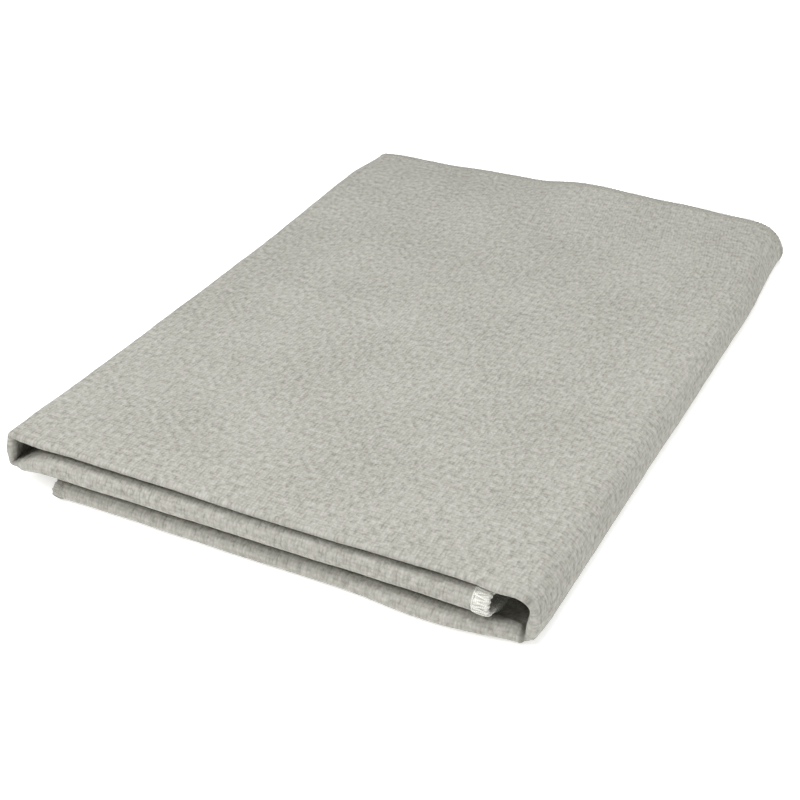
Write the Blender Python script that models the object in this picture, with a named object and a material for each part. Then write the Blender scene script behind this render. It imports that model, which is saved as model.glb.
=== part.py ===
"""A one-metre welding fire blanket of heavy glass cloth, folded and laid flat.

The sheet is doubled front to back, so every leaf is two plies joined by a loop at the front.
It is then folded in three across its width: the bottom leaf turns up at the right fold into the
top leaf, and the top leaf turns down at the left fold into the middle leaf between them.
Metres, +Z up, +X to the right, the looped fronts face -Y, and the blanket stands on Z = 0.
"""

import math

import bmesh
import bpy
from mathutils import Vector

# Driving dimensions.
FOLDED_WIDTH = 0.338
FOLDED_DEPTH = 0.482
PLY = 0.002
BOTTOM_LEAF_HEIGHT = 0.0098
MIDDLE_LEAF_HEIGHT = 0.0120
TOP_LEAF_HEIGHT = 0.0096
BOTTOM_END_STEP = 0.033  # the bottom leaf stops this far short of the left side
MIDDLE_END_STEP = 0.029  # the middle leaf stops this far short of the right fold's outside
PINCH_RUN = 0.022  # how far from a fold the two plies of a leaf close up on each other
CREASE_INSIDE = 0.0009  # inside radius of each crease of the right and left folds
FRONT_LOOP_DEPTH = 0.006  # how far the front loops reach forward of the flat plies
SEAM_WIDTH = 0.007
SEAM_SWELL = 0.0004  # how much thicker than the cloth a stitched edge is
CLEARANCE = 0.0003  # between pieces that touch

# Shape of the facets.
LOOP_SEGMENTS = 12
CREASE_SEGMENTS = 6

# Worked out from the above.
LEFT = -FOLDED_WIDTH / 2
RIGHT = FOLDED_WIDTH / 2
FRONT = -FOLDED_DEPTH / 2
BACK = FOLDED_DEPTH / 2
DOUBLE_PLY = 2 * (PLY + SEAM_SWELL) + CLEARANCE  # a leaf or fold where its two plies close up
CREASE_RADIUS = DOUBLE_PLY + CREASE_INSIDE
BOTTOM_LEAF_TOP = BOTTOM_LEAF_HEIGHT
MIDDLE_LEAF_BASE = BOTTOM_LEAF_TOP + CLEARANCE
MIDDLE_LEAF_TOP = MIDDLE_LEAF_BASE + MIDDLE_LEAF_HEIGHT
TOP_LEAF_BASE = MIDDLE_LEAF_TOP + CLEARANCE
TOP_LEAF_TOP = TOP_LEAF_BASE + TOP_LEAF_HEIGHT
PLIES_FRONT = FRONT + FRONT_LOOP_DEPTH + CLEARANCE
PLIES_BACK = BACK - SEAM_WIDTH - CLEARANCE
CREASE_LEFT = LEFT + CREASE_RADIUS + CLEARANCE  # where the leaves meet the left fold
CREASE_RIGHT = RIGHT - CREASE_RADIUS - CLEARANCE  # where the leaves meet the right fold
BOTTOM_END = LEFT + BOTTOM_END_STEP
MIDDLE_END = RIGHT - MIDDLE_END_STEP


def finish(name, colour, roughness):
    material = bpy.data.materials.new(name)
    material.use_nodes = True
    shader = material.node_tree.nodes["Principled BSDF"]
    shader.inputs["Base Color"].default_value = (*colour, 1.0)
    shader.inputs["Roughness"].default_value = roughness
    shader.inputs["Metallic"].default_value = 0.0
    return material


def hinge(name, place, parent=None):
    """An empty on a crease's fold line, which the pieces beyond that crease hang on."""
    empty = bpy.data.objects.new(name, None)
    empty.location = place
    bpy.context.collection.objects.link(empty)
    if parent:
        empty.parent = parent
        empty.location = Vector(place) - parent.location
    bpy.context.view_layer.update()
    return empty


def make_object(name, mesh_data, body, material):
    """Turns a bmesh into a named object on its body, with the mesh given in world places."""
    bmesh.ops.recalc_face_normals(mesh_data, faces=mesh_data.faces)
    mesh = bpy.data.meshes.new(name)
    mesh_data.to_mesh(mesh)
    mesh_data.free()
    mesh.materials.append(material)
    piece = bpy.data.objects.new(name, mesh)
    bpy.context.collection.objects.link(piece)
    if body:
        piece.parent = body
        piece.matrix_parent_inverse = body.matrix_world.inverted()
    return piece


def loft(name, rings, body, material):
    """A closed solid through equal rings of points, capped at both ends."""
    mesh_data = bmesh.new()
    loops = [[mesh_data.verts.new(point) for point in ring] for ring in rings]
    for near, far in zip(loops, loops[1:]):
        for i in range(len(near)):
            j = (i + 1) % len(near)
            mesh_data.faces.new((near[i], near[j], far[j], far[i]))
    mesh_data.faces.new(loops[0])
    mesh_data.faces.new(loops[-1])
    return make_object(name, mesh_data, body, material)


def prism(name, outline, y_from, y_to, body, material):
    """An outline of (x, z) points carried straight back along Y."""
    rings = [[(x, y, z) for x, z in outline] for y in (y_from, y_to)]
    return loft(name, rings, body, material)


def strip_outline(line, thickness):
    """The outline of cloth of this thickness to the left of a line of (x, z) points."""
    points = [Vector(p) for p in line]
    ways = [(b - a).normalized() for a, b in zip(points, points[1:])]
    offset = []
    for i, point in enumerate(points):
        before = ways[max(i - 1, 0)]
        after = ways[min(i, len(ways) - 1)]
        way = (before + after).normalized()
        side = Vector((-way.y, way.x))
        offset.append(point + side * thickness / way.dot(after))
    return [tuple(p) for p in points + offset[::-1]]


def bend_outline(centre, outer, inner, start_deg):
    """A quarter ring of cloth about a centre (x, z), from start_deg anticlockwise."""
    angles = [math.radians(start_deg + 90 * i / CREASE_SEGMENTS) for i in range(CREASE_SEGMENTS + 1)]
    ring = [(centre[0] + outer * math.cos(a), centre[1] + outer * math.sin(a)) for a in angles]
    ring += [(centre[0] + inner * math.cos(a), centre[1] + inner * math.sin(a)) for a in angles[::-1]]
    return ring


def loop_section(low, high, wall):
    """A C of (y, z) points, open to the back, that wraps the front of a leaf from low to high."""
    middle = (low + high) / 2
    half = (high - low) / 2
    turns = [math.pi * i / LOOP_SEGMENTS - math.pi / 2 for i in range(LOOP_SEGMENTS + 1)]
    back = FRONT + FRONT_LOOP_DEPTH
    outside = [(back - FRONT_LOOP_DEPTH * math.cos(t), middle + half * math.sin(t)) for t in turns]
    depth = FRONT_LOOP_DEPTH - wall
    inside = [(back - depth * math.cos(t), middle + (half - wall) * math.sin(t)) for t in turns]
    return outside + inside[::-1]


def front_loop(name, stations, wall, body, material):
    """The loop that joins a leaf's two plies at the front, through stations of (x, low, high)."""
    rings = [[(x, y, z) for y, z in loop_section(low, high, wall)] for x, low, high in stations]
    return loft(name, rings, body, material)


def upright_loop(name, x_from, x_to, z_from, z_to, body, material):
    """The pinched loop at the front of a fold's upright wall."""
    section = loop_section(x_from, x_to, PLY)
    rings = [[(x, y, z) for y, x in section] for z in (z_from, z_to)]
    return loft(name, rings, body, material)


def ply(name, line, inward, body, cloth, thread):
    """One ply of a leaf or fold and the stitched edge along its back.

    line holds (x, z) points on the leaf's outside face, and inward is +1 where the cloth lies
    to the left of that line and -1 where it lies to its right."""
    if inward < 0:
        line = line[::-1]
    prism(name, strip_outline(line, PLY), PLIES_FRONT, PLIES_BACK, body, cloth)
    seam = strip_outline(line, PLY + SEAM_SWELL)
    prism(f"{name}_back_seam", seam, BACK - SEAM_WIDTH, BACK, body, thread)


def end_seam(name, x_from, low, high, body, thread):
    """The stitched edge across a leaf's free end: lower ply, upper ply and front loop."""
    thick = PLY + SEAM_SWELL
    x_to = x_from + SEAM_WIDTH
    lower = strip_outline([(x_from, low), (x_to, low)], thick)
    upper = strip_outline([(x_to, high), (x_from, high)], thick)
    prism(f"{name}_lower", lower, PLIES_FRONT, BACK, body, thread)
    prism(f"{name}_upper", upper, PLIES_FRONT, BACK, body, thread)
    front_loop(f"{name}_front", [(x_from, low, high), (x_to, low, high)], thick, body, thread)


def bottom_leaf(body, cloth, thread):
    """Flat underside, free stitched end at the left, closing up into the right fold."""
    start = BOTTOM_END + SEAM_WIDTH + CLEARANCE
    pinch = RIGHT - PINCH_RUN
    underside = [(start, 0), (CREASE_RIGHT, 0)]
    upper_face = [(start, BOTTOM_LEAF_TOP), (pinch, BOTTOM_LEAF_TOP), (CREASE_RIGHT, DOUBLE_PLY)]
    ply("bottom_leaf_lower_ply", underside, 1, body, cloth, thread)
    ply("bottom_leaf_upper_ply", upper_face, -1, body, cloth, thread)
    stations = [(start, 0, BOTTOM_LEAF_TOP), (pinch, 0, BOTTOM_LEAF_TOP), (CREASE_RIGHT, 0, DOUBLE_PLY)]
    front_loop("bottom_leaf_front_fold", stations, PLY, body, cloth)
    end_seam("bottom_leaf_end_seam", BOTTOM_END, 0, BOTTOM_LEAF_TOP, body, thread)


def middle_leaf(body, cloth, thread, white_thread):
    """Closed up at the left fold, free overlocked end short of the right fold."""
    end = MIDDLE_END - SEAM_WIDTH - CLEARANCE
    pinch = LEFT + PINCH_RUN
    pinched = MIDDLE_LEAF_BASE + DOUBLE_PLY
    underside = [(CREASE_LEFT, MIDDLE_LEAF_BASE), (end, MIDDLE_LEAF_BASE)]
    upper_face = [(CREASE_LEFT, pinched), (pinch, MIDDLE_LEAF_TOP), (end, MIDDLE_LEAF_TOP)]
    ply("middle_leaf_lower_ply", underside, 1, body, cloth, thread)
    ply("middle_leaf_upper_ply", upper_face, -1, body, cloth, thread)
    stations = [(x, MIDDLE_LEAF_BASE, top) for x, top in upper_face]
    front_loop("middle_leaf_front_fold", stations, PLY, body, cloth)
    start = MIDDLE_END - SEAM_WIDTH
    end_seam("middle_leaf_overlock", start, MIDDLE_LEAF_BASE, MIDDLE_LEAF_TOP, body, white_thread)


def top_leaf(body, cloth, thread):
    """Flat on top, closed up at both folds."""
    pinched = TOP_LEAF_TOP - DOUBLE_PLY
    lower_face = [
        (CREASE_LEFT, pinched),
        (LEFT + PINCH_RUN, TOP_LEAF_BASE),
        (RIGHT - PINCH_RUN, TOP_LEAF_BASE),
        (CREASE_RIGHT, pinched),
    ]
    upper_face = [(CREASE_LEFT, TOP_LEAF_TOP), (CREASE_RIGHT, TOP_LEAF_TOP)]
    ply("top_leaf_lower_ply", lower_face, 1, body, cloth, thread)
    ply("top_leaf_upper_ply", upper_face, -1, body, cloth, thread)
    stations = [(x, low, TOP_LEAF_TOP) for x, low in lower_face]
    front_loop("top_leaf_front_fold", stations, PLY, body, cloth)


def crease(name, side, z_outside, turn, body, cloth):
    """Both plies of the sheet round one corner of a fold; turn says which quarter it is."""
    centre_x = side - math.copysign(CREASE_RADIUS, side)
    centre_z = z_outside + (CREASE_RADIUS if turn in (180, 270) else -CREASE_RADIUS)
    outline = bend_outline((centre_x, centre_z), CREASE_RADIUS, CREASE_INSIDE, turn)
    prism(name, outline, FRONT, BACK, body, cloth)


def fold_wall(name, side, z_low, z_high, body, cloth, thread):
    """The upright outer and inner plies of a fold, with their pinched front loop."""
    inwards = -math.copysign(1, side)
    low = z_low + CREASE_RADIUS + CLEARANCE
    high = z_high - CREASE_RADIUS - CLEARANCE
    inside = side + inwards * DOUBLE_PLY
    ply(f"{name}_outer_ply", [(side, low), (side, high)], -inwards, body, cloth, thread)
    ply(f"{name}_inner_ply", [(inside, low), (inside, high)], inwards, body, cloth, thread)
    x_from, x_to = sorted((side, inside))
    upright_loop(f"{name}_front_edge", x_from, x_to, low, high, body, cloth)


def build():
    for old in list(bpy.data.objects):
        bpy.data.objects.remove(old, do_unlink=True)
    cloth = finish("coated_glass_cloth", (0.48, 0.47, 0.42), 0.85)
    thread = finish("grey_edge_thread", (0.46, 0.45, 0.41), 0.8)
    white_thread = finish("white_overlock_thread", (0.82, 0.82, 0.76), 0.7)

    lower_hinge = hinge("right_fold_lower_hinge", (RIGHT, 0, 0))
    upper_hinge = hinge("right_fold_upper_hinge", (RIGHT, 0, TOP_LEAF_TOP), lower_hinge)

    bottom_leaf(None, cloth, thread)
    crease("right_fold_lower_crease", RIGHT, 0, 270, None, cloth)

    fold_wall("right_fold", RIGHT, 0, TOP_LEAF_TOP, lower_hinge, cloth, thread)

    crease("right_fold_upper_crease", RIGHT, TOP_LEAF_TOP, 0, upper_hinge, cloth)
    top_leaf(upper_hinge, cloth, thread)
    crease("left_fold_upper_crease", LEFT, TOP_LEAF_TOP, 90, upper_hinge, cloth)
    fold_wall("left_fold", LEFT, MIDDLE_LEAF_BASE, TOP_LEAF_TOP, upper_hinge, cloth, thread)
    crease("left_fold_lower_crease", LEFT, MIDDLE_LEAF_BASE, 180, upper_hinge, cloth)
    middle_leaf(upper_hinge, cloth, thread, white_thread)


build()
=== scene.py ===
"""The looks of a folded welding fire blanket: heavy coated glass cloth with overlocked edges.

The whole blanket is one sheet, doubled front to back and then folded in three across its width.
It is worked out as one folded surface, from the bottom leaf's free end round the right fold, back
over the top leaf, down the left fold and along the middle leaf, and then cut into cloth panels at
places where it lies flat. Metres, +Z up, +X to the right, the looped fronts face -Y.
"""
import math

import bpy
import numpy as np
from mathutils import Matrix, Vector


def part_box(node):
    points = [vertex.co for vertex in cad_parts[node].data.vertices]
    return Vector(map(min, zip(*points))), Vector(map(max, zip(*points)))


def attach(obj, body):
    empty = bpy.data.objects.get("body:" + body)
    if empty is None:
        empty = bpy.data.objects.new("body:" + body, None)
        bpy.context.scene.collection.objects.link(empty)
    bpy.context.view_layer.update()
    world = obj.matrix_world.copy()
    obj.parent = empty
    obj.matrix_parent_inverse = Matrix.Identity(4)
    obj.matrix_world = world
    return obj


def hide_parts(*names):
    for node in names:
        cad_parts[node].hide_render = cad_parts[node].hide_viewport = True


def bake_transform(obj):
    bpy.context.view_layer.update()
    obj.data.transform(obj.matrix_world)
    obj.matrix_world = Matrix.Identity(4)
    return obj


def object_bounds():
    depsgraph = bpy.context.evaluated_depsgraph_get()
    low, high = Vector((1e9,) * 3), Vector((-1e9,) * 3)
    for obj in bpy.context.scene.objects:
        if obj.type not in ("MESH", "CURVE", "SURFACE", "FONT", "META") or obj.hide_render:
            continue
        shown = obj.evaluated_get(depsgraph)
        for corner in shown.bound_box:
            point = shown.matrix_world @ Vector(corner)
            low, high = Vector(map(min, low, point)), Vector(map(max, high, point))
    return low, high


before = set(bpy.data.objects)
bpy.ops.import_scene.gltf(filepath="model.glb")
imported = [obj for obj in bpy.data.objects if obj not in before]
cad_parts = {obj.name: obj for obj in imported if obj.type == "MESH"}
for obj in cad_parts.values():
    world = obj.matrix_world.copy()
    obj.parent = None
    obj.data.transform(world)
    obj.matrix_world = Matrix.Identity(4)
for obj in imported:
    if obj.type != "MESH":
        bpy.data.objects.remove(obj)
cad_low, cad_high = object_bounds()

# Sizes read from the frame.
LEFT, FRONT, FLOOR = cad_low
RIGHT, BACK, _ = cad_high
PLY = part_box("bottom_leaf_lower_ply")[1].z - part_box("bottom_leaf_lower_ply")[0].z
BOTTOM_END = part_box("bottom_leaf_end_seam_lower")[0].x
MIDDLE_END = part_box("middle_leaf_overlock_lower")[1].x

# How high the upper faces of the bottom, middle and top leaves lie, at the front and well behind it.
FRONT_TOPS = (0.0108, 0.0271, 0.0362)
FAR_TOPS = (0.0092, 0.0222, 0.0294)
LEAF_WAVES = ((0.0004, 0.12), (0.0005, 0.13), (0.0005, 0.15))  # height and length of their unevenness
SWELL_RUN = (0.110, 0.160)  # how slowly the swell at the front dies away, on the left and on the right
SWELL_CHANGE = (LEFT + 0.03, RIGHT - 0.06)  # where the one passes into the other
# The upper leaves' back edge: its height on the left, then its rises and falls from left to right.
BACK_EDGE_START = -0.0049
BACK_EDGE_STEPS = (
    (-0.115, -0.060, 0.0023),
    (-0.030, 0.008, 0.0046),
    (0.020, 0.065, -0.0010),
    (0.095, 0.120, -0.0015),
)
BACK_EDGE_RUN = 0.060
BACK_EDGE_UNDER = 0.7  # share of these rises and falls that the middle leaf takes part in
BACK_EDGE_WAVE = (0.0008, 0.12)  # how far the raw back edges stray from straight, and over what length
CORNER_RECESS = 0.0028  # how far forward the back edge draws at the left fold
CORNER_RECESS_RUN = 0.014
LEAF_GAP = 0.0004
FRONT_GAPS = (0.0021, 0.0032)  # wider gaps at the front, under the middle leaf and the top leaf
FRONT_GAP_RUN = 0.030
PINCHED = 2 * PLY + 0.0002  # two plies pressed together
FRONT_ROLL = 0.0022  # how far the top face rolls down towards the front loop
FRONT_ROLL_RUN = 0.034
FRONT_ROLL_LEFT = 0.09  # in from the left side, where it reaches its full amount
LOOSE_TOP = 0.0066  # the top leaf's least thickness where the middle leaf doesn't reach under it
LOOSE_TOP_RISE = 0.004  # the most that its lower face stands above the middle leaf's height there
RESTS_PLACE = (0.002, -0.014)  # from the middle leaf's end, where it is clear of it and rests on it
LEFT_FOLD_DROOP = 0.0024  # how far the left fold hangs below the bottom leaf's upper face at the back
LEFT_DROOP_AT_FRONT = 0.6  # share of that droop at the front
LEFT_DROOP_RUN = (0.02, 0.25)  # behind the front, where it grows to all of it
LEFT_WALL = (0.0062, 0.0042)  # thickness of the left fold's wall, in the front loop and behind it
LEFT_WALL_RUN = (0.003, 0.008)
LOOP_REACH = 0.0021  # how far forward of the frame's front the loops stand
LOOP_DEPTH = 0.0066  # of a lofty leaf's front loop, to the middle of the cloth
LOOP_DEPTH_SHARE = 0.60  # of a pinched leaf's thickness
LOOP_SQUARENESS = 0.84  # under 1 gives the loops flatter fronts than a half ellipse
PINCH_RECESS = 0.0032  # how far back the loops draw where the two plies are pressed together
PINCH_RANGE = (0.0046, 0.0074)  # thickness of a leaf that is pressed together, and of one that isn't
FRONT_WAVE = (0.0005, 0.16)  # how far the loops stray from straight, and over what length
LOOP_HOLD = (0.004, 0.014)  # behind the front, where the open loops close to the thickness of the folds
END_SAG = 0.0040  # how far the cloth sinks behind the loops under the middle leaf's end
END_SAG_FADE = (0.05, 0.14)  # behind the front, where it rises again
END_SAG_PLACE = (-0.024, -0.006)  # from the middle leaf's end, where it sets in
LEFT_CROWN = 0.0014  # how far the left fold's upper corner stands up at the front
LEFT_CROWN_RUN = 0.025
LEFT_DIP = 0.0016  # how far the top dips along the left fold
LEFT_DIP_PLACE = 0.070
LEFT_DIP_RUN = 0.055
LEFT_DIP_REACH = 0.12  # in from the left side
BOTTOM_BULGE = 0.0036  # how far the bottom leaf's front loop bulges
BOTTOM_BULGE_PLACE = 0.102
BOTTOM_BULGE_RUN = 0.030
RIGHT_CORNER_RECESS = 0.0022  # how far back the front draws round the right fold's lower crease
RIGHT_CORNER_START = (-0.035, -0.015)  # along the cloth from the crease, where it sets in
RIGHT_CORNER_STOP = (0.0, 0.020)  # and where it dies away
SIDE_DRAW = 0.0014  # how far in both sides draw at the front
LEFT_DRAW_RUN = 0.030
RIGHT_DRAW_RUN = 0.025
SIDE_WAVE = (0.0003, 0.20)  # how far both sides stray from straight, and over what length
RIGHT_FOLD_REACH = (0.12, 0.11)  # how far its front shape reaches back, and its back shape forward
FINE_WAVES = ((0.00013, 0.022), (0.00008, 0.011))  # height and length of the cloth's own unevenness

# Where the folded path passes from the leaves to the folds.
BOTTOM_START = BOTTOM_END + 0.0025  # the raw end of the cloth, inside the end seam
BOTTOM_STOP = RIGHT - 0.036
TOP_START = (RIGHT - 0.036, RIGHT - 0.053)  # well before the back, and at the back
TOP_STOP = LEFT + 0.033
LEFT_FOLD_ROOT = LEFT + 0.039  # where the fold takes the height of the leaves from
MIDDLE_START = LEFT + 0.041

# Spacing of the cloth's mesh.
LEAF_SPACING = 0.0125  # between the path's control points along a leaf
TOP_LEAF_POINTS = 21
LEAF_STEPS = 3
CREASE_STEPS = 4
STATIONS = 161
FAR_ROWS = 98
NEAR_ROWS = 18
NEAR_RUN = 0.045  # behind the front, where the rows lie closer together
LOOP_ROWS = 20
PANEL_CUT_BEHIND_LOOP = 6  # rows
WALL_CUT_HEIGHT = 0.0172  # on the right fold's wall, where the bottom and top leaves' panels meet
WALL_COLUMNS = (-20, 30)  # from the rightmost column, those that the wall is looked for in
TOP_CUT = LEFT + 0.038  # where the top and middle leaves' panels meet

# Edge stitching.
STITCH_PITCH = 0.0030
GREY_SEAM = 0.0055  # from the raw edge to the needle thread
WHITE_SEAM = 0.0085
GREY_THREAD = 0.00036  # radius
WHITE_THREAD = 0.00056
THREAD_SIDES = 6
STITCH_STRAY = 0.10  # share of a stitch that each one may lie out of place along the edge
HOLE_STRAY = 0.00025  # how far its needle hole may lie out of line
HOLE_SIDE = 0.004  # thread farther in from the raw edge than this moves with the needle hole
BINDING_SWELL = 0.00022  # how proud of the cloth the mat of looper thread stands
BINDING_STEP = 0.0012

# The studio.
CAMERA_TARGET = (-0.003, -0.056, 0.0)
CAMERA_DISTANCE = 1.0155
CAMERA_AZIMUTH = 26.59
CAMERA_ELEVATION = 32.18
CAMERA_LENS = 71.8
SKY = 0.20  # even light from all round
FLOOR_GLOW = 0.50
FLOOR_CLEARANCE = 0.0003  # keeps the uneven underside from coming through the table


def smooth(start, end, value):
    """0 up to start, 1 from end on, and an even rise between them."""
    share = np.clip((value - start) / (end - start), 0.0, 1.0)
    return share * share * (3 - 2 * share)


def mix(near, far, share):
    return near + (far - near) * share


def past_front(run, y):
    """0 up to the first distance behind the front and 1 from the second on."""
    return smooth(FRONT + run[0], FRONT + run[1], y)


def near_front(run, y):
    """1 at the front and an even fall to 0 at this distance behind it."""
    return 1 - smooth(FRONT, FRONT + run, y)


def past_middle_end(run, x):
    """0 at the first distance from the middle leaf's end and 1 at the second, in either direction."""
    return smooth(MIDDLE_END + run[0], MIDDLE_END + run[1], x)


def hump(value, place, width):
    """A smooth rise to 1 at place that dies away over this width."""
    return np.exp(-(((value - place) / width) ** 2))


def lie(a, b, seed, length):
    """Gentle unevenness, mostly between -1 and 1: a few long waves that cross each other."""
    waves, scale = 6, 3.5
    rng = np.random.default_rng(seed)
    total = 0.0
    for _ in range(waves):
        way, start = rng.uniform(0, 2 * math.pi, 2)
        wave = length * rng.uniform(0.7, 1.8)
        total = total + np.sin(2 * math.pi * (a * math.cos(way) + b * math.sin(way)) / wave + start)
    return total / scale


def leaf_tops(x, y):
    """Heights of the upper faces of the bottom, middle and top leaves."""
    swell = np.exp((FRONT - y) / mix(*SWELL_RUN, smooth(*SWELL_CHANGE, x)))
    bottom, middle, top = (far + (near - far) * swell for near, far in zip(FRONT_TOPS, FAR_TOPS))
    edge = BACK_EDGE_START + sum(rise * smooth(start, end, x) for start, end, rise in BACK_EDGE_STEPS)
    edge = edge * smooth(BACK - BACK_EDGE_RUN, BACK, y)
    behind = past_front(LOOP_HOLD, y) * (1 - past_front(END_SAG_FADE, y))
    bottom = bottom - END_SAG * behind * past_middle_end(END_SAG_PLACE, x)
    waves = [height * lie(x, y, seed, length) for seed, (height, length) in enumerate(LEAF_WAVES, 1)]
    bottom = bottom + waves[0]
    middle = middle + BACK_EDGE_UNDER * edge + waves[1]
    dip = LEFT_DIP * hump(y, LEFT_DIP_PLACE, LEFT_DIP_RUN) * (1 - smooth(LEFT, LEFT + LEFT_DIP_REACH, x))
    top = top + edge - dip + waves[2]
    return bottom, middle, top - front_roll(x, y)


def front_roll(x, y):
    """How far the top leaf rolls down towards its front loop, which it does less at the left."""
    return FRONT_ROLL * near_front(FRONT_ROLL_RUN, y) * smooth(LEFT, LEFT + FRONT_ROLL_LEFT, x)


def leaf_gap(y, widening):
    """The gap under a leaf, which widens by this much towards the front."""
    return LEAF_GAP + widening * near_front(FRONT_GAP_RUN, y)


def leaf_places(start, end):
    """Places along a leaf from start up to but not at end, about LEAF_SPACING apart."""
    count = round(abs(end - start) / LEAF_SPACING)
    return [mix(start, end, i / count) for i in range(count)]


# The right fold at the front, the middle and the back: how far in from the right side, share of the
# top leaf's height, and thickness.
RIGHT_FOLD_FRONT = (
    (0.0290, 0.000, 0.0110),
    (0.0230, 0.000, 0.0110),
    (0.0176, 0.000, 0.0110),
    (0.0138, 0.000, 0.0110),
    (0.0116, 0.004, 0.0108),
    (0.0100, 0.014, 0.0045),
    (0.0080, 0.036, 0.0042),
    (0.0056, 0.080, 0.0043),
    (0.0031, 0.155, 0.0070),
    (0.0013, 0.262, 0.0086),
    (0.0005, 0.385, 0.0088),
    (0.0003, 0.510, 0.0080),
    (0.0011, 0.650, 0.0062),
    (0.0036, 0.790, 0.0050),
    (0.0074, 0.895, 0.0047),
    (0.0120, 0.965, 0.0049),
    (0.0176, 0.995, 0.0054),
    (0.0240, 1.000, 0.0060),
)
RIGHT_FOLD_MIDDLE = (
    (0.0290, 0.000, 0.0070),
    (0.0230, 0.000, 0.0068),
    (0.0176, 0.000, 0.0062),
    (0.0134, 0.001, 0.0056),
    (0.0110, 0.006, 0.0050),
    (0.0090, 0.017, 0.0046),
    (0.0070, 0.040, 0.0044),
    (0.0049, 0.090, 0.0044),
    (0.0029, 0.165, 0.0046),
    (0.0013, 0.265, 0.0052),
    (0.0006, 0.390, 0.0056),
    (0.0008, 0.520, 0.0052),
    (0.0018, 0.660, 0.0048),
    (0.0042, 0.795, 0.0045),
    (0.0080, 0.895, 0.0045),
    (0.0126, 0.960, 0.0048),
    (0.0182, 0.992, 0.0052),
    (0.0246, 1.000, 0.0058),
)
RIGHT_FOLD_BACK = (
    (0.0300, 0.000, 0.0084),
    (0.0240, 0.000, 0.0076),
    (0.0188, 0.000, 0.0064),
    (0.0150, 0.001, 0.0055),
    (0.0122, 0.012, 0.0050),
    (0.0099, 0.038, 0.0047),
    (0.0081, 0.082, 0.0045),
    (0.0067, 0.150, 0.0045),
    (0.0057, 0.255, 0.0046),
    (0.0060, 0.395, 0.0048),
    (0.0076, 0.535, 0.0049),
    (0.0101, 0.670, 0.0048),
    (0.0134, 0.795, 0.0046),
    (0.0176, 0.890, 0.0045),
    (0.0224, 0.950, 0.0046),
    (0.0280, 0.985, 0.0050),
    (0.0344, 0.998, 0.0054),
    (0.0410, 1.000, 0.0060),
)


def folded_path(y):
    """Control points of the sheet's outside face in the X-Z plane at each y.

    Each row is (x, z, thickness of both plies together, mesh steps to the next row)."""
    at_front = near_front(RIGHT_FOLD_REACH[0], y)
    at_back = smooth(BACK - RIGHT_FOLD_REACH[1], BACK, y)
    in_loop = 1 - past_front(LOOP_HOLD, y)
    rows = []
    stray, length = SIDE_WAVE
    right = RIGHT - SIDE_DRAW * near_front(RIGHT_DRAW_RUN, y) + stray * lie(y, y, 11, length)
    left = LEFT + SIDE_DRAW * near_front(LEFT_DRAW_RUN, y) + stray * lie(y, y, 12, length)
    under_middle, under_top = (leaf_gap(y, widening) for widening in FRONT_GAPS)

    for x in leaf_places(BOTTOM_START, BOTTOM_STOP):
        rows.append((x, 0, leaf_tops(x, y)[0], LEAF_STEPS))

    high = leaf_tops(BOTTOM_STOP, y)[2]
    # The outline keeps its front shape for some way back, the thickness only in the loop.
    for shapes in zip(RIGHT_FOLD_FRONT, RIGHT_FOLD_MIDDLE, RIGHT_FOLD_BACK):
        inward, height, thickness = (
            mix(mix(middle, front, near), back, at_back)
            for front, middle, back, near in zip(*shapes, (at_front, at_front, in_loop))
        )
        rows.append((right - inward, height * high, thickness, CREASE_STEPS))

    first = mix(*TOP_START, at_back)
    for share in np.arange(TOP_LEAF_POINTS) / TOP_LEAF_POINTS:
        x = mix(first, TOP_STOP, share)
        _, middle, top = leaf_tops(x, y)
        hangs = np.minimum(top - LOOSE_TOP, middle + under_top + LOOSE_TOP_RISE)
        rests = past_middle_end(RESTS_PLACE, x)
        thickness = np.maximum(top - mix(hangs, middle + under_top, rests), PINCHED)
        rows.append((x, top, thickness, LEAF_STEPS + 1))

    high = leaf_tops(TOP_STOP, y)[2]
    bottom, middle, _ = leaf_tops(LEFT_FOLD_ROOT, y)
    droop = LEFT_FOLD_DROOP * mix(LEFT_DROOP_AT_FRONT, 1.0, past_front(LEFT_DROOP_RUN, y))
    low = bottom + under_middle - droop
    full = middle - bottom - under_middle
    wall = mix(*LEFT_WALL, past_front(LEFT_WALL_RUN, y))
    crown = LEFT_CROWN * near_front(LEFT_CROWN_RUN, y)
    # How far in from the fold's outside, height, thickness.
    left_fold = (
        (0.0250, high - 0.0001, 0.0054),
        (0.0176, high - 0.0002, 0.0048),
        (0.0116, high - 0.0003, 0.0044),
        (0.0070, high - 0.0004 + 0.7 * crown, PINCHED),
        (0.0028, high - 0.0013 + crown, PINCHED),
        (0.0016, high - 0.0048 + 0.7 * crown, 0.0046),
        (0.0014, mix(high - 0.0048, low + 0.0056, 0.33), wall),
        (0.0008, mix(high - 0.0048, low + 0.0056, 0.67), wall),
        (0.0004, low + 0.0056, 0.0048),
        (0.0003, low + 0.0019, PINCHED),
        (0.0026, low - 0.0003, PINCHED),
        (0.0070, low - 0.0001, 0.0048),
        (0.0110, low + 0.10 * droop, 0.0064),
        (0.0152, low + 0.30 * droop, 0.44 * full + 0.0014),
        (0.0197, low + 0.55 * droop, 0.64 * full + 0.0010),
        (0.0247, low + 0.80 * droop, 0.84 * full + 0.0004),
        (0.0302, low + 0.95 * droop, 0.97 * full),
    )
    for inward, height, thickness in left_fold:
        rows.append((left + inward, height, thickness, CREASE_STEPS))

    for x in [*leaf_places(MIDDLE_START, MIDDLE_END), MIDDLE_END]:
        bottom, middle, _ = leaf_tops(x, y)
        rows.append((x, bottom + under_middle, middle - bottom - under_middle, LEAF_STEPS))
    return rows


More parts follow.
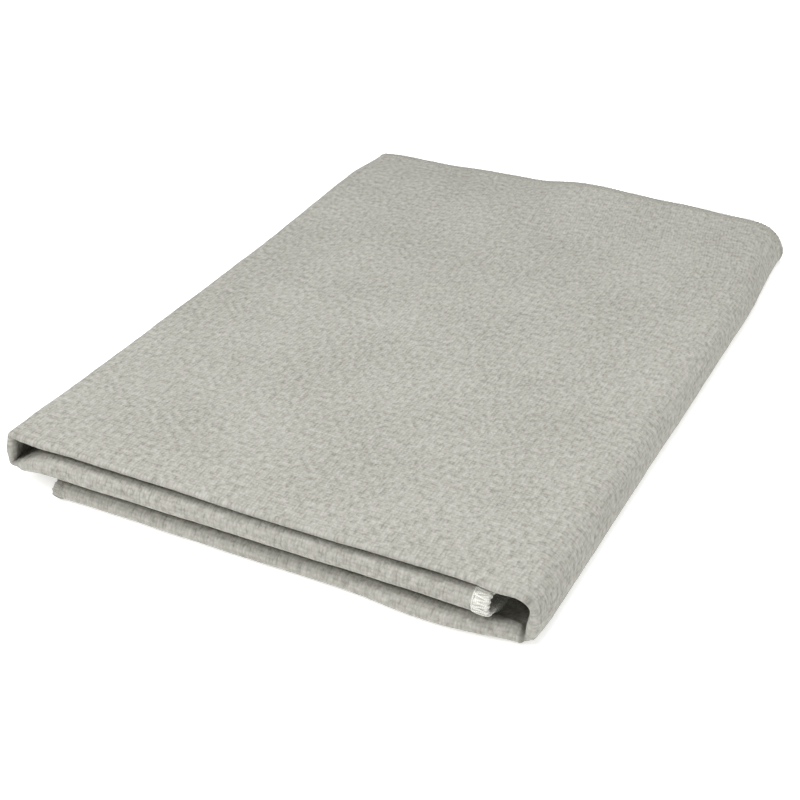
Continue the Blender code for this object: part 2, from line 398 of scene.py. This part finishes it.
def spline_weights(steps):
    """Cubic B-spline weights that carry the control points to the mesh's columns.

    The curve starts at the first point and ends at the last."""
    rows = []
    for span, count in enumerate(steps):
        stop = count + (span == len(steps) - 1)
        for t in np.arange(stop) / count:
            row = np.zeros(len(steps) + 3)
            row[span] = (1 - t) ** 3
            row[span + 1] = 3 * t**3 - 6 * t**2 + 4
            row[span + 2] = -3 * t**3 + 3 * t**2 + 3 * t + 1
            row[span + 3] = t**3
            rows.append(row / 6)
    weights = np.array(rows)
    first = weights[:, 0].copy()
    last = weights[:, -1].copy()
    weights[:, 1] += 2 * first
    weights[:, 2] -= first
    weights[:, -2] += 2 * last
    weights[:, -3] -= last
    return weights[:, 1:-1]


def unit(vectors):
    return vectors / np.maximum(np.linalg.norm(vectors, axis=-1, keepdims=True), 1e-12)


class FoldedSheet:
    """The folded sheet as a grid: columns run along the folded path, and rows run from the outer
    ply's back edge to the front, round the loop and along the inner ply to its back edge."""

    def __init__(self):
        stations = np.linspace(FRONT - 0.002, BACK + 0.004, STATIONS)  # a little past both ends
        rows = folded_path(stations)
        weights = spline_weights([row[3] for row in rows[:-1]])
        face_x, face_z, thick = (
            weights @ np.array([np.broadcast_to(row[i], stations.shape) for row in rows]) for i in range(3)
        )
        along = unit(np.stack([np.gradient(face_x, axis=0), np.gradient(face_z, axis=0)], axis=-1))
        inward = np.stack([-along[..., 1], along[..., 0]], axis=-1)
        middle = np.stack([face_x, face_z], axis=-1) + inward * thick[..., None] / 2
        pace = np.linalg.norm(np.diff(middle, axis=0), axis=-1).mean(axis=1)
        self.across = np.concatenate([[0.0], np.cumsum(pace)])
        self.columns = len(self.across)

        y, depth, turn = self.lay_rows(stations, thick, face_x[:, -1])

        def read_at(grid):
            return np.array([np.interp(y[i], stations, grid[i]) for i in range(self.columns)])

        thick = read_at(thick)
        half = (thick - PLY) / 2
        squared = np.sign(np.cos(turn)) * np.abs(np.cos(turn)) ** LOOP_SQUARENESS
        into = thick / 2 - half * squared
        self.points = np.stack(
            [
                read_at(face_x) + read_at(inward[..., 0]) * into,
                y - depth * np.sin(turn),
                read_at(face_z) + read_at(inward[..., 1]) * into,
            ],
            axis=-1,
        )
        self.rows = self.points.shape[1]
        self.down = self.measure_down()
        self.outward = self.find_outward()
        fine = sum(
            height * lie(self.across[:, None], self.down, seed, length)
            for seed, (height, length) in enumerate(FINE_WAVES, 21)
        )
        self.points = self.points + self.outward * fine[..., None]
        self.outward = self.find_outward()

    def lay_rows(self, stations, thick, back_x):
        """The y that each row's point is read at, its loop depth and its turn round the loop."""
        place = self.across[:, None]
        front_thick = thick[:, 0]
        depth = np.minimum(LOOP_DEPTH_SHARE * front_thick, LOOP_DEPTH)[:, None]
        pinched = 1 - smooth(*PINCH_RANGE, front_thick)
        recess = FRONT_WAVE[0] * lie(place, 0, 31, FRONT_WAVE[1]) + PINCH_RECESS * pinched[:, None]
        bulge = BOTTOM_BULGE * hump(place, BOTTOM_BULGE_PLACE - BOTTOM_END, BOTTOM_BULGE_RUN)
        to_crease = RIGHT - BOTTOM_END
        before, after = (
            smooth(to_crease + start, to_crease + stop, place)
            for start, stop in (RIGHT_CORNER_START, RIGHT_CORNER_STOP)
        )
        recess = recess - bulge + RIGHT_CORNER_RECESS * (before * (1 - after))
        loop_y = FRONT + PLY / 2 - LOOP_REACH + recess + depth
        corner = CORNER_RECESS * hump(back_x[:, None], LEFT, CORNER_RECESS_RUN)
        stray, length = BACK_EDGE_WAVE
        sides = []
        for seed in (32, 33):
            edge = BACK - stray + stray * lie(place, 0, seed, length) - corner
            near = FRONT + NEAR_RUN
            far_rows = edge + (near - edge) * np.arange(FAR_ROWS) / FAR_ROWS
            near_rows = near + (loop_y - near) * np.arange(NEAR_ROWS) / NEAR_ROWS
            sides.append(np.concatenate([far_rows, near_rows], axis=1))
        turn = np.pi * np.arange(LOOP_ROWS + 1) / LOOP_ROWS
        loop = np.repeat(loop_y, LOOP_ROWS + 1, axis=1)
        y = np.concatenate([sides[0], loop, sides[1][:, ::-1]], axis=1)
        side = FAR_ROWS + NEAR_ROWS
        turn = np.concatenate([np.zeros(side), turn, np.full(side, np.pi)])[None, :]
        self.loop_middle = side + LOOP_ROWS // 2
        self.panel_cut = side + LOOP_ROWS + 1 + PANEL_CUT_BEHIND_LOOP
        return y, depth, turn

    def measure_down(self):
        """Distance along the cloth from the middle of the front loop, to the inner ply positive."""
        pace = np.linalg.norm(np.diff(self.points, axis=1), axis=-1)
        down = np.concatenate([np.zeros((self.columns, 1)), np.cumsum(pace, axis=1)], axis=1)
        return down - down[:, self.loop_middle : self.loop_middle + 1]

    def find_outward(self):
        along = np.gradient(self.points, axis=0)
        down = np.gradient(self.points, axis=1)
        return unit(np.cross(along, down))

    def column_near(self, x=None, z=None, first=0, last=None):
        """The column, between two others, whose outside back edge comes nearest to x or z."""
        edge = self.points[first:last, 0]
        miss = np.abs(edge[:, 0] - x) if z is None else np.abs(edge[:, 2] - z)
        return first + int(np.argmin(miss))

    def back_edge(self, first, last, inner):
        """The cloth's raw back edge between two columns: points, way into the cloth, outward."""
        row, beside = (-1, -2) if inner else (0, 1)
        part = slice(first, last + 1)
        points = self.points[part, row]
        return points, unit(self.points[part, beside] - points), self.outward[part, row]

    def free_end(self, column, beside):
        """The cloth's raw edge across a leaf's free end."""
        points = self.points[column]
        return points, unit(self.points[beside] - points), self.outward[column]


def make_object(name, points, faces, material, uv_maps):
    """A smooth mesh from arrays of points and faces, with UV maps given for each face corner."""
    mesh = bpy.data.meshes.new(name)
    mesh.from_pydata(points.tolist(), [], faces)
    for map_name, corners in uv_maps.items():
        layer = mesh.uv_layers.new(name=map_name)
        layer.data.foreach_set("uv", np.asarray(corners, np.float32).ravel())
    mesh.materials.append(material)
    mesh.shade_smooth()
    piece = bpy.data.objects.new(name, mesh)
    bpy.context.scene.collection.objects.link(piece)
    return piece


def cloth_panel(name, sheet, columns, rows, material):
    """A closed piece of the folded cloth: both faces of one block of the grid and the rims round it.

    The weave map is in millimetres along the cloth. The bake map puts the outer face in the lower
    half, the inner face in the upper half and the rims in strips between and beside them."""
    i = slice(columns[0], columns[1] + 1)
    j = slice(rows[0], rows[1] + 1)
    middle, outward = sheet.points[i, j], sheet.outward[i, j]
    wide, long = middle.shape[:2]
    faces_of_cloth = (middle + outward * PLY / 2, middle - outward * PLY / 2)
    points = np.concatenate([face.reshape(-1, 3) for face in faces_of_cloth])
    outer = np.arange(wide * long).reshape(wide, long)
    inner = outer + wide * long

    across = np.broadcast_to(sheet.across[i, None], (wide, long))
    weave = np.tile(np.stack([across, sheet.down[i, j]], axis=-1).reshape(-1, 2) * 1000, (2, 1))
    share_across = (across - across[0, 0]) / (across[-1, 0] - across[0, 0])
    down = sheet.down[i, j].mean(axis=0)
    share_down = np.broadcast_to((down - down[0]) / (down[-1] - down[0]), (wide, long))
    lower_half = np.stack([mix(0.01, 0.99, share_across), mix(0.02, 0.48, share_down)], axis=-1)
    lower_half = lower_half.reshape(-1, 2)
    bake = np.concatenate([lower_half, lower_half + (0.0, 0.5)])

    def quads(grid):
        corners = [grid[:-1, :-1], grid[1:, :-1], grid[1:, 1:], grid[:-1, 1:]]
        return np.stack(corners, axis=-1).reshape(-1, 4)

    faces = [quads(outer), quads(inner)[:, ::-1]]
    bake_corners = [bake[f] for f in faces]
    # Each rim's outer points, inner points, and whether its faces turn the other way.
    edges = (
        (outer[:, 0], inner[:, 0], False),
        (outer[:, -1], inner[:, -1], True),
        (outer[0], inner[0], True),
        (outer[-1], inner[-1], False),
    )
    for strip, (top, under, turned) in enumerate(edges):
        rim = np.stack([top[:-1], under[:-1], under[1:], top[1:]], axis=-1)
        share = mix(0.01, 0.99, np.linspace(0, 1, len(top)))
        base = (0.002, 0.490, 0.502, 0.990)[strip]
        low = np.stack([share, np.full(len(top), base)], axis=-1)
        high = low + (0.0, 0.008)
        corners = np.stack([high[:-1], low[:-1], low[1:], high[1:]], axis=1)
        faces.append(rim[:, ::-1] if turned else rim)
        bake_corners.append(corners[:, ::-1] if turned else corners)
    faces = np.concatenate(faces)
    uv_maps = {"weave": weave[faces], "OFBake": np.concatenate(bake_corners)}
    piece = make_object(name, points, faces.tolist(), material, uv_maps)
    piece.data.set_sharp_from_angle(angle=math.radians(60))
    flat = (float(sheet.across[i][-1] - sheet.across[i][0]), float(down[-1] - down[0]))
    return piece, flat


class RawEdge:
    """A raw edge of the cloth laid out straight: along it, in from it and up from the cloth's middle."""

    def __init__(self, points, into, outward):
        self.points, self.into, self.outward = points, into, outward
        pace = np.linalg.norm(np.diff(points, axis=0), axis=-1)
        self.along = np.concatenate([[0.0], np.cumsum(pace)])
        self.length = self.along[-1]

    def read(self, values, along):
        return np.stack([np.interp(along, self.along, values[:, k]) for k in range(3)], axis=-1)

    def place(self, along, inward, up):
        laid = (self.points, self.into, self.outward)
        base, into, outward = (self.read(values, along) for values in laid)
        return base + into * np.asarray(inward)[..., None] + outward * np.asarray(up)[..., None]


def above_floor(points):
    """Thread on the underside is pressed up into the cloth by the floor."""
    return np.concatenate([points[..., :2], np.maximum(points[..., 2:], FLOOR)], axis=-1)


def tube(points, toward, radius_up, radius_across):
    """Rings of a closed tube along points, flattened where radius_up is the smaller."""
    ahead = unit(np.gradient(points, axis=0))
    up = toward - np.sum(toward * ahead, axis=-1, keepdims=True) * ahead
    up = unit(up)
    side = np.cross(ahead, up)
    angle = 2 * np.pi * np.arange(THREAD_SIDES) / THREAD_SIDES
    rings = (
        points[:, None]
        + up[:, None] * (np.cos(angle) * radius_up)[None, :, None]
        + side[:, None] * (np.sin(angle) * radius_across)[None, :, None]
    )
    return above_floor(rings)


def skin(rings, first):
    """Faces round and along a tube's rings, with capped ends, and their UV corners in millimetres."""
    count, sides = rings.shape[:2]
    index = first + np.arange(count * sides).reshape(count, sides)
    nxt = np.roll(index, -1, axis=1)
    faces = np.stack([index[:-1], nxt[:-1], nxt[1:], index[1:]], axis=-1).reshape(-1, 4)
    centre = rings.mean(axis=1)
    run = np.concatenate([[0.0], np.cumsum(np.linalg.norm(np.diff(centre, axis=0), axis=-1))]) * 1000
    turn = np.arange(sides + 1) / sides
    u = np.broadcast_to(run[:, None], (count, sides + 1))
    v = np.broadcast_to(turn[None], (count, sides + 1))
    grid = np.stack([u, v], axis=-1)
    corners = np.stack([grid[:-1, :-1], grid[:-1, 1:], grid[1:, 1:], grid[1:, :-1]], axis=2).reshape(-1, 2)
    caps = [index[0, ::-1].tolist(), index[-1].tolist()]
    cap_corners = np.concatenate([grid[0, :-1][::-1], grid[-1, :-1]])
    return faces.tolist() + caps, np.concatenate([corners, cap_corners])


def looper_thread(edge, reach, radius, slant, seed):
    """One looper thread: from needle hole to rim over one face and back over the other, each stitch."""
    rise = PLY / 2 + radius * 0.75
    # Share of a stitch, distance in from the raw edge, height from the cloth's middle.
    wrap = np.array(
        (
            (0.00, reach + 0.0003, 0.80 * rise),
            (0.10, reach * 0.80, 1.10 * rise),
            (0.24, reach * 0.45, 1.08 * rise),
            (0.38, reach * 0.12, 1.00 * rise),
            (0.45, -0.0004, 0.70 * rise),
            (0.50, -0.0007, 0.00 * rise),
            (0.55, -0.0004, -0.70 * rise),
            (0.62, reach * 0.12, -1.00 * rise),
            (0.76, reach * 0.45, -1.08 * rise),
            (0.90, reach * 0.80, -1.10 * rise),
            (1.00, reach + 0.0003, -0.80 * rise),
        )
    )
    if slant < 0:
        wrap[:, 1:] = wrap[::-1, 1:]
    stitches = int(edge.length / STITCH_PITCH) - 1
    rng = np.random.default_rng(seed)
    start = np.arange(stitches)[:, None] + rng.uniform(-STITCH_STRAY, STITCH_STRAY, (stitches, 1)) + 0.5
    along = (start + wrap[None, :, 0]) * STITCH_PITCH
    hole = rng.uniform(-HOLE_STRAY, HOLE_STRAY, (stitches, 1))
    inward = wrap[None, :, 1] + hole * (wrap[None, :, 1] > HOLE_SIDE)
    up = np.broadcast_to(wrap[None, :, 2], along.shape)
    along, inward, up = (np.asarray(a).ravel() for a in (along, inward, up))
    points = edge.place(along, inward, up)
    hub = edge.place(along, np.full(along.shape, reach / 2), np.zeros(along.shape))
    return tube(points, points - hub, radius * 0.8, radius * 1.15)


def needle_thread(edge, reach, radius):
    """The needle thread, which dips through the cloth between stitches, on the outer face."""
    rise = PLY / 2 + radius * 0.5
    along = np.arange(STITCH_PITCH, edge.length - STITCH_PITCH, STITCH_PITCH / 4)
    dip = np.abs(np.sin(np.pi * along / STITCH_PITCH))
    up = rise * (0.72 + 0.36 * dip)
    points = edge.place(along, np.full(along.shape, reach), up)
    return tube(points, edge.read(edge.outward, along), radius * 0.8, radius)


def binding(edge, reach):
    """The mat of looper thread that wraps the raw edge, as a thin U round the cloth."""
    count = int(edge.length / BINDING_STEP) + 1
    along = np.linspace(0, edge.length, count)
    outside = PLY / 2 + BINDING_SWELL
    inside = PLY / 2 - 0.0003  # sunk into the cloth, so that no gap shows
    width = reach - 0.0008
    half = (
        (width, outside),
        (width * 0.7, outside),
        (width * 0.4, outside),
        (0.0004, outside),
        (-0.0003, outside * 0.6),
        (-0.0005, 0.0),
    )
    wrap = [*half, *((q, -h) for q, h in half[-2::-1])]
    back = [(width, -inside), (0.0006, -inside), (0.0006, inside), (width, inside)]
    section = np.array(wrap + back)
    fray = 1 + 0.05 * lie(along, along, 41, 0.006)
    rings = [edge.place(along, np.full(count, q) * fray, np.full(count, h)) for q, h in section]
    return above_floor(np.stack(rings, axis=1)[:, ::-1])


def overlock(name, edge, material, reach, radius, seed):
    """An overlocked raw edge: the thread mat, two looper threads and the needle thread."""
    loopers = [looper_thread(edge, reach, radius, slant, seed + slant) for slant in (1, -1)]
    parts = [binding(edge, reach), *loopers, needle_thread(edge, reach, radius)]
    points, faces, corners, first = [], [], [], 0
    for rings in parts:
        part_faces, part_corners = skin(rings, first)
        points.append(rings.reshape(-1, 3))
        faces += part_faces
        corners.append(part_corners)
        first += rings.shape[0] * rings.shape[1]
    return make_object(name, np.concatenate(points), faces, material, {"strand": np.concatenate(corners)})


def linear(hex_colour):
    """An sRGB hex colour as linear red, green, blue and alpha."""
    parts = [int(hex_colour[k : k + 2], 16) / 255 for k in (1, 3, 5)]
    return tuple(c / 12.92 if c <= 0.04045 else ((c + 0.055) / 1.055) ** 2.4 for c in parts) + (1.0,)


def add_node(tree, kind, inputs=(), **settings):
    """Adds a node with its settings, and its inputs as values or as sockets to link from."""
    node = tree.nodes.new(kind)
    for key, value in settings.items():
        setattr(node, key, value)
    for socket, value in dict(inputs).items():
        if isinstance(value, bpy.types.NodeSocket):
            tree.links.new(value, node.inputs[socket])
        else:
            node.inputs[socket].default_value = value
    return node


def new_material(name):
    material = bpy.data.materials.new(name)
    material.use_nodes = True
    tree = material.node_tree
    tree.nodes.clear()
    output = tree.nodes.new("ShaderNodeOutputMaterial")
    return material, tree, output


def coated_glass_cloth():
    """Texturised E-glass yarn in a coarse weave, dip coated: a dry, matte, mottled warm grey.

    The yarn is bulked by air, so it covers the weave with a felted, uneven pile. Thick and thin
    places mottle the surface, and the coating leaves short lighter and darker flecks along the warp."""
    yarn_mm = 2.1  # spacing of the thick bulked yarns, drawn a little coarse so that it shows
    wander_mm = 3.5  # length over which the yarns stray to one side and back
    wander_by = 2.4  # how far they stray from side to side, in millimetres
    mottle_mm = 3.5
    fleck_mm = 1.3
    fuzz_mm = 0.45  # broken filaments, far finer on the real yarn than can show here
    broad_mm = 60.0  # slow changes in the coating
    material, tree, output = new_material("coated_glass_cloth")
    cloth = add_node(tree, "ShaderNodeUVMap", uv_map="weave").outputs["UV"]

    wander = add_node(
        tree,
        "ShaderNodeTexNoise",
        {"Vector": cloth, "Scale": 1 / wander_mm, "Detail": 2.0, "Roughness": 0.6},
    ).outputs["Color"]
    wander = add_node(
        tree, "ShaderNodeVectorMath", {0: wander, 1: (0.5, 0.5, 0.5)}, operation="SUBTRACT"
    ).outputs[0]
    wander = add_node(
        tree, "ShaderNodeVectorMath", {0: wander, "Scale": wander_by}, operation="SCALE"
    ).outputs[0]
    bent = add_node(tree, "ShaderNodeVectorMath", {0: cloth, 1: wander}, operation="ADD").outputs[0]
    turned = add_node(
        tree, "ShaderNodeVectorMath", {0: bent, "Scale": math.pi / yarn_mm}, operation="SCALE"
    ).outputs[0]
    axes = add_node(tree, "ShaderNodeSeparateXYZ", {0: turned}).outputs
    warp = add_node(tree, "ShaderNodeMath", {0: axes["X"]}, operation="SINE").outputs[0]
    weft = add_node(tree, "ShaderNodeMath", {0: axes["Y"]}, operation="SINE").outputs[0]
    crossing = add_node(tree, "ShaderNodeMath", {0: warp, 1: weft}, operation="MULTIPLY").outputs[0]
    pebble = add_node(tree, "ShaderNodeMath", {0: crossing}, operation="ABSOLUTE").outputs[0]

    mottle = add_node(
        tree,
        "ShaderNodeTexNoise",
        {"Vector": bent, "Scale": 1 / mottle_mm, "Detail": 3.0, "Roughness": 0.55},
    ).outputs["Fac"]
    fleck_scale = (1 / fleck_mm, 0.30 / fleck_mm, 1.0)  # flecks are longer front to back
    stretched = add_node(
        tree, "ShaderNodeVectorMath", {0: cloth, 1: fleck_scale}, operation="MULTIPLY"
    ).outputs[0]
    fleck = add_node(
        tree, "ShaderNodeTexNoise", {"Vector": stretched, "Scale": 1.0, "Detail": 2.0, "Roughness": 0.6}
    ).outputs["Fac"]
    fuzz = add_node(
        tree, "ShaderNodeTexNoise", {"Vector": cloth, "Scale": 1 / fuzz_mm, "Detail": 2.0, "Roughness": 0.6}
    ).outputs["Fac"]

    relief = -0.5
    for layer, share in ((mottle, 1.0), (pebble, 0.16), (fleck, 0.50), (fuzz, 0.18)):
        relief = add_node(
            tree, "ShaderNodeMath", {0: layer, 1: share, 2: relief}, operation="MULTIPLY_ADD"
        ).outputs[0]

    shade = add_node(
        tree,
        "ShaderNodeMapRange",
        {"Value": relief, "From Min": 0.16, "From Max": 0.66, "To Min": 0.0, "To Max": 1.0},
    ).outputs[0]
    broad = add_node(
        tree, "ShaderNodeTexNoise", {"Vector": cloth, "Scale": 1 / broad_mm, "Detail": 3.0, "Roughness": 0.5}
    ).outputs["Fac"]
    shade = add_node(
        tree, "ShaderNodeMath", {0: broad, 1: 0.40, 2: shade}, operation="MULTIPLY_ADD"
    ).outputs[0]
    shade = add_node(tree, "ShaderNodeMath", {0: shade, 1: 0.20}, operation="SUBTRACT").outputs[0]
    ramp = add_node(tree, "ShaderNodeValToRGB", {"Fac": shade})
    ramp.color_ramp.elements[0].color = linear("#8F8D84")
    ramp.color_ramp.elements[1].color = linear("#BEBCB4")
    middle = ramp.color_ramp.elements.new(0.46)
    middle.color = linear("#A9A79E")

    rough = add_node(
        tree,
        "ShaderNodeMapRange",
        {"Value": mottle, "From Min": 0.3, "From Max": 0.7, "To Min": 0.92, "To Max": 0.80},
    ).outputs[0]
    bump = add_node(
        tree, "ShaderNodeBump", {"Strength": 0.78, "Distance": 0.0007, "Height": relief}
    ).outputs["Normal"]
    shader = add_node(
        tree,
        "ShaderNodeBsdfPrincipled",
        {"Base Color": ramp.outputs["Color"], "Roughness": rough, "Normal": bump, "IOR": 1.5},
    )
    shader.inputs["Specular IOR Level"].default_value = 0.25
    tree.links.new(shader.outputs["BSDF"], output.inputs["Surface"])
    return material


def overlock_thread(name, pale, deep, roughness):
    """Two-ply spun thread: a fine twist along its length and a soft, slightly fuzzy surface."""
    twist_mm = 1.1
    material, tree, output = new_material(name)
    strand = add_node(tree, "ShaderNodeUVMap", uv_map="strand").outputs["UV"]
    axes = add_node(tree, "ShaderNodeSeparateXYZ", {0: strand}).outputs
    lay = add_node(
        tree, "ShaderNodeMath", {0: axes["X"], 1: 1 / twist_mm, 2: axes["Y"]}, operation="MULTIPLY_ADD"
    ).outputs[0]
    lay = add_node(tree, "ShaderNodeMath", {0: lay, 1: 2 * math.pi}, operation="MULTIPLY").outputs[0]
    lay = add_node(tree, "ShaderNodeMath", {0: lay}, operation="SINE").outputs[0]
    place = add_node(tree, "ShaderNodeTexCoord").outputs["Object"]
    fibre = add_node(
        tree, "ShaderNodeTexNoise", {"Vector": place, "Scale": 1 / 0.0009, "Detail": 2.0, "Roughness": 0.6}
    ).outputs["Fac"]
    height = add_node(
        tree, "ShaderNodeMath", {0: lay, 1: 0.25, 2: fibre}, operation="MULTIPLY_ADD"
    ).outputs[0]
    shade = add_node(
        tree,
        "ShaderNodeMapRange",
        {"Value": height, "From Min": 0.2, "From Max": 0.8, "To Min": 0.0, "To Max": 1.0},
    ).outputs[0]
    ramp = add_node(tree, "ShaderNodeValToRGB", {"Fac": shade})
    ramp.color_ramp.elements[0].color = linear(deep)
    ramp.color_ramp.elements[1].color = linear(pale)
    bump = add_node(
        tree, "ShaderNodeBump", {"Strength": 0.6, "Distance": 0.0002, "Height": height}
    ).outputs["Normal"]
    shader = add_node(
        tree,
        "ShaderNodeBsdfPrincipled",
        {"Base Color": ramp.outputs["Color"], "Roughness": roughness, "Normal": bump},
    )
    shader.inputs["Sheen Weight"].default_value = 0.15
    tree.links.new(shader.outputs["BSDF"], output.inputs["Surface"])
    return material


def opal_acrylic_table():
    """An opal acrylic shooting table, lit a little from below, so that hardly any shadow shows."""
    material, tree, output = new_material("opal_acrylic_table")
    shader = add_node(
        tree, "ShaderNodeBsdfPrincipled", {"Base Color": linear("#F8F8F7"), "Roughness": 0.9}
    )
    shader.inputs["Emission Color"].default_value = (1.0, 1.0, 1.0, 1.0)
    shader.inputs["Emission Strength"].default_value = FLOOR_GLOW
    tree.links.new(shader.outputs["BSDF"], output.inputs["Surface"])
    return material


def aim(thing, place, target):
    thing.location = place
    thing.rotation_mode = "QUATERNION"
    thing.rotation_quaternion = (Vector(target) - Vector(place)).to_track_quat("-Z", "Y")


def make_camera():
    azimuth, elevation = math.radians(CAMERA_AZIMUTH), math.radians(CAMERA_ELEVATION)
    level = math.cos(elevation)
    back = Vector((math.sin(azimuth) * level, -math.cos(azimuth) * level, math.sin(elevation)))
    camera = bpy.data.objects.new("camera", bpy.data.cameras.new("camera"))
    camera.data.lens = CAMERA_LENS
    camera.data.sensor_width = 36
    camera.data.clip_start = 0.01
    bpy.context.scene.collection.objects.link(camera)
    aim(camera, Vector(CAMERA_TARGET) + back * CAMERA_DISTANCE, CAMERA_TARGET)
    bpy.context.scene.camera = camera


def soft_light(name, place, size, power):
    lamp = bpy.data.lights.new(name, "AREA")
    lamp.size = size
    lamp.energy = power
    light = bpy.data.objects.new(name, lamp)
    bpy.context.scene.collection.objects.link(light)
    aim(light, place, (0, 0, 0))


def make_studio():
    mesh = bpy.data.meshes.new("floor")
    reach = 4.0
    corners = [(-reach, -reach, 0), (reach, -reach, 0), (reach, reach, 0), (-reach, reach, 0)]
    mesh.from_pydata(corners, [], [(0, 1, 2, 3)])
    mesh.materials.append(opal_acrylic_table())
    floor = bpy.data.objects.new("floor", mesh)
    floor.location.z = FLOOR - FLOOR_CLEARANCE
    bpy.context.scene.collection.objects.link(floor)

    world = bpy.data.worlds.new("studio")
    world.use_nodes = True
    world.node_tree.nodes["Background"].inputs["Color"].default_value = linear("#EEF4FF")
    world.node_tree.nodes["Background"].inputs["Strength"].default_value = SKY
    bpy.context.scene.world = world
    bpy.context.scene.view_settings.view_transform = "Standard"
    soft_light("overhead_softbox", (0.1, -0.25, 1.7), 1.0, 25)
    soft_light("front_softbox", (-0.9, -1.3, 1.5), 0.7, 17)
    soft_light("side_softbox", (1.9, 0.6, 0.9), 0.9, 8)


make_camera()
sheet = FoldedSheet()
cloth_finish = coated_glass_cloth()
grey_thread = overlock_thread("grey_overlock_thread", "#B3B1A7", "#98968C", 0.8)
white_thread = overlock_thread("white_overlock_thread", "#EEEDE6", "#CDCBC1", 0.6)

rightmost, leftmost = int(np.argmax(sheet.points[:, 0, 0])), int(np.argmin(sheet.points[:, 0, 0]))
first_on_wall, last_on_wall = (rightmost + columns for columns in WALL_COLUMNS)
wall_cut = sheet.column_near(z=WALL_CUT_HEIGHT, first=first_on_wall, last=last_on_wall)
top_last = sheet.column_near(x=TOP_CUT, first=wall_cut, last=leftmost)
end = sheet.columns - 1

# Each stretch of the sheet: name, columns, the bodies it joins, and the nodes that its outer cloth,
# inner cloth, outer back edge and inner back edge stand for.
STRETCHES = (
    (
        "bottom_leaf", (0, wall_cut), ("bottom_leaf", "right_fold_wall"),
        ("bottom_leaf_lower_ply", "bottom_leaf_front_fold", "right_fold_lower_crease",
         "right_fold_outer_ply", "right_fold_front_edge"),
        ("bottom_leaf_upper_ply", "right_fold_inner_ply"),
        ("bottom_leaf_lower_ply_back_seam", "right_fold_outer_ply_back_seam"),
        ("bottom_leaf_upper_ply_back_seam", "right_fold_inner_ply_back_seam"),
    ),
    (
        "top_leaf", (wall_cut, top_last), ("right_fold_wall", "top_and_middle_leaves"),
        ("top_leaf_upper_ply", "top_leaf_front_fold", "right_fold_upper_crease"),
        ("top_leaf_lower_ply",),
        ("top_leaf_upper_ply_back_seam",),
        ("top_leaf_lower_ply_back_seam",),
    ),
    (
        "middle_leaf", (top_last, end), ("top_and_middle_leaves",),
        ("middle_leaf_lower_ply", "middle_leaf_front_fold", "left_fold_upper_crease",
         "left_fold_lower_crease", "left_fold_outer_ply", "left_fold_front_edge"),
        ("middle_leaf_upper_ply", "left_fold_inner_ply"),
        ("middle_leaf_lower_ply_back_seam", "left_fold_outer_ply_back_seam"),
        ("middle_leaf_upper_ply_back_seam", "left_fold_inner_ply_back_seam"),
    ),
)


def hang(piece, bodies, nodes):
    """Joins a piece to its body, or fixes it where it lies when it spans two, and hides the parts of the
    frame that it takes the place of.
    """
    if len(bodies) == 2:
        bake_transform(piece)
    else:
        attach(piece, bodies[0])
    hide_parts(*nodes)


bottom_end = RawEdge(*sheet.free_end(0, 1))
middle_end = RawEdge(*sheet.free_end(end, end - 1))
end_edges = {
    "bottom_leaf": overlock(
        "bottom_leaf_end_overlock", bottom_end, grey_thread, GREY_SEAM, GREY_THREAD, 51
    ),
    "middle_leaf": overlock(
        "middle_leaf_end_overlock", middle_end, white_thread, WHITE_SEAM, WHITE_THREAD, 54
    ),
}
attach(end_edges["bottom_leaf"], "bottom_leaf")
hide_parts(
    "bottom_leaf_end_seam_lower",
    "bottom_leaf_end_seam_upper",
    "bottom_leaf_end_seam_front",
)
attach(end_edges["middle_leaf"], "top_and_middle_leaves")
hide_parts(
    "middle_leaf_overlock_lower",
    "middle_leaf_overlock_upper",
    "middle_leaf_overlock_front",
)

cloths = []
for stretch, columns, bodies, outer_nodes, inner_nodes, outer_seams, inner_seams in STRETCHES:
    sides = (
        ("outer", (0, sheet.panel_cut), outer_nodes, outer_seams),
        ("inner", (sheet.panel_cut, sheet.rows - 1), inner_nodes, inner_seams),
    )
    for side, rows, nodes, seam_nodes in sides:
        cloth, flat = cloth_panel(f"{stretch}_{side}_cloth", sheet, columns, rows, cloth_finish)
        hang(cloth, bodies, nodes)
        edge = RawEdge(*sheet.back_edge(*columns, side == "inner"))
        seed = 61 + 3 * len(cloths)
        name = f"{stretch}_{side}_back_overlock"
        seam = overlock(name, edge, grey_thread, GREY_SEAM, GREY_THREAD, seed)
        hang(seam, bodies, seam_nodes)
        on_it = [seam] + ([end_edges[stretch]] if side == "outer" and stretch in end_edges else [])
        cloths.append((cloth, flat, stretch, on_it))

make_studio()
